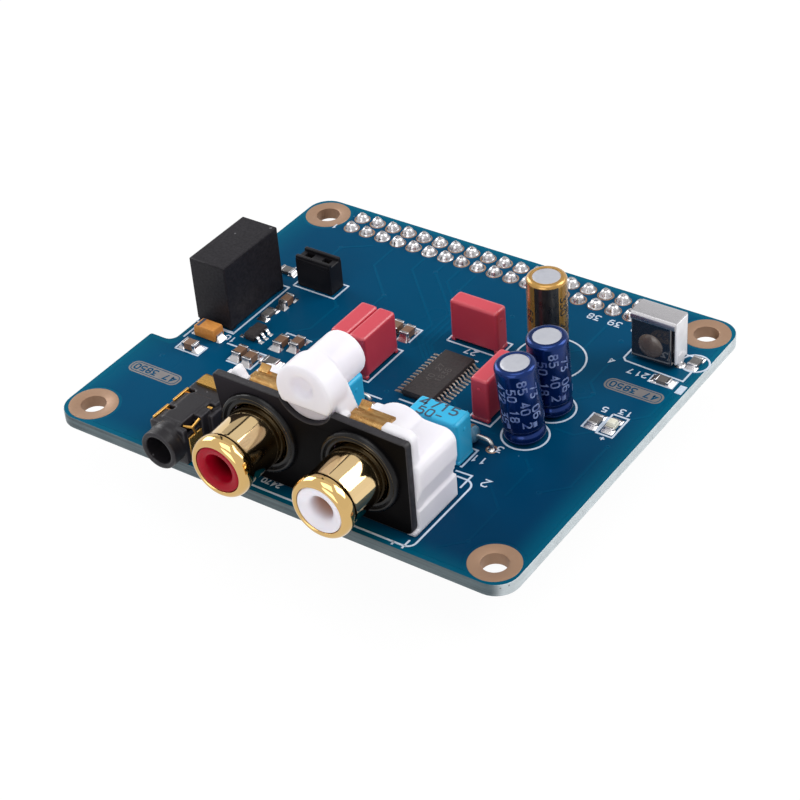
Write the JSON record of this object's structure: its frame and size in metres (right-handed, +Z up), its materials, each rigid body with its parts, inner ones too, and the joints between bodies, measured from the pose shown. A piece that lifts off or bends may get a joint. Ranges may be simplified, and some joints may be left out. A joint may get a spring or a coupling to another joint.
{
  "type": "audio converter board",
  "caption": "Audio DAC board: blue add-on circuit board with a pair of phono sockets, a headphone socket, film and electrolytic capacitors and a rear header socket.",
  "frame": {"origin": "centre of the four mounting holes, on the board's top face", "axes": "+X along the front edge to the right, +Y to the rear header edge, +Z up out of the component side"},
  "size_m": [0.065, 0.0612, 0.0289],
  "materials": {
    "solder_mask": "glossy blue lacquer",
    "header_black": "satin black moulding",
    "gold_contact": "gold flash",
    "solder": "bright solder",
    "housing_white": "milky white moulding",
    "plate_black": "satin black",
    "gold_shell": "polished gold plate",
    "insert_red": "glossy red",
    "insert_white": "glossy white",
    "strap_brass": "die-cut brass",
    "jack_black": "satin charcoal",
    "block_black": "satin black case",
    "potting": "resin",
    "tinned": "tinned metal",
    "shield_tin": "brushed tin",
    "epoxy_dark": "dark epoxy",
    "film_red": "glossy red box",
    "film_blue": "glossy light blue box",
    "sleeve_blue": "glossy blue sleeve",
    "sleeve_gold": "gold sleeve",
    "can_aluminium": "bare can end",
    "chip_black": "moulded package",
    "tantalum_amber": "amber case",
    "ceramic_brown": "ceramic",
    "resistor_grey": "glazed chip",
    "led_clear": "clear lens",
    "axial_blue": "lacquered body",
    "silkscreen": "white screen print",
    "plated_pad": "hot tinned copper pad",
    "print_ink": "printed marks on cases and sleeves"
  },
  "bodies": {
    "root": {"circuit_board": "solder_mask", "header_socket_housing": "header_black", "header_socket_contacts": "gold_contact", "header_solder_joints": "solder", "phono_housing": "housing_white", "phono_front_plate": "plate_black", "phono_shell_red": "gold_shell", "phono_shell_white": "gold_shell", "phono_insert_red": "insert_red", "phono_insert_white": "insert_white", "phono_centre_contact_red": "tinned", "phono_centre_contact_white": "tinned", "phono_earth_strap_red": "strap_brass", "phono_earth_strap_white": "strap_brass", "headphone_housing": "jack_black", "headphone_sleeve_blade": "gold_contact", "headphone_ring_blade": "gold_contact", "headphone_tip_bracket": "gold_contact", "headphone_switch_leaf": "gold_contact", "converter_block_case": "block_black", "converter_block_potting": "potting", "converter_block_pins": "tinned", "socket_strip_housing": "header_black", "socket_strip_contacts": "gold_contact", "receiver_shield": "shield_tin", "receiver_body": "epoxy_dark", "receiver_leads": "tinned", "film_capacitor_leads": "tinned", "electrolytic_leads": "tinned", "converter_chip_body": "chip_black", "converter_chip_leads": "tinned", "regulator_body": "chip_black", "regulator_leads": "tinned", "tantalum_body": "tantalum_amber", "tantalum_terminals": "tinned", "ceramic_capacitor_bodies": "ceramic_brown", "chip_resistor_bodies": "resistor_grey", "chip_end_caps": "tinned", "status_led": "led_clear", "axial_resistor_leads": "tinned", "film_capacitor_red_1": "film_red", "film_capacitor_red_2": "film_red", "film_capacitor_red_3": "film_red", "film_capacitor_red_4": "film_red", "film_capacitor_blue_1": "film_blue", "film_capacitor_blue_2": "film_blue", "electrolytic_1": "sleeve_blue", "electrolytic_2": "sleeve_blue", "electrolytic_3": "sleeve_gold", "axial_resistor_body_1": "axial_blue", "axial_resistor_body_2": "axial_blue"}
  },
  "joints": []
}
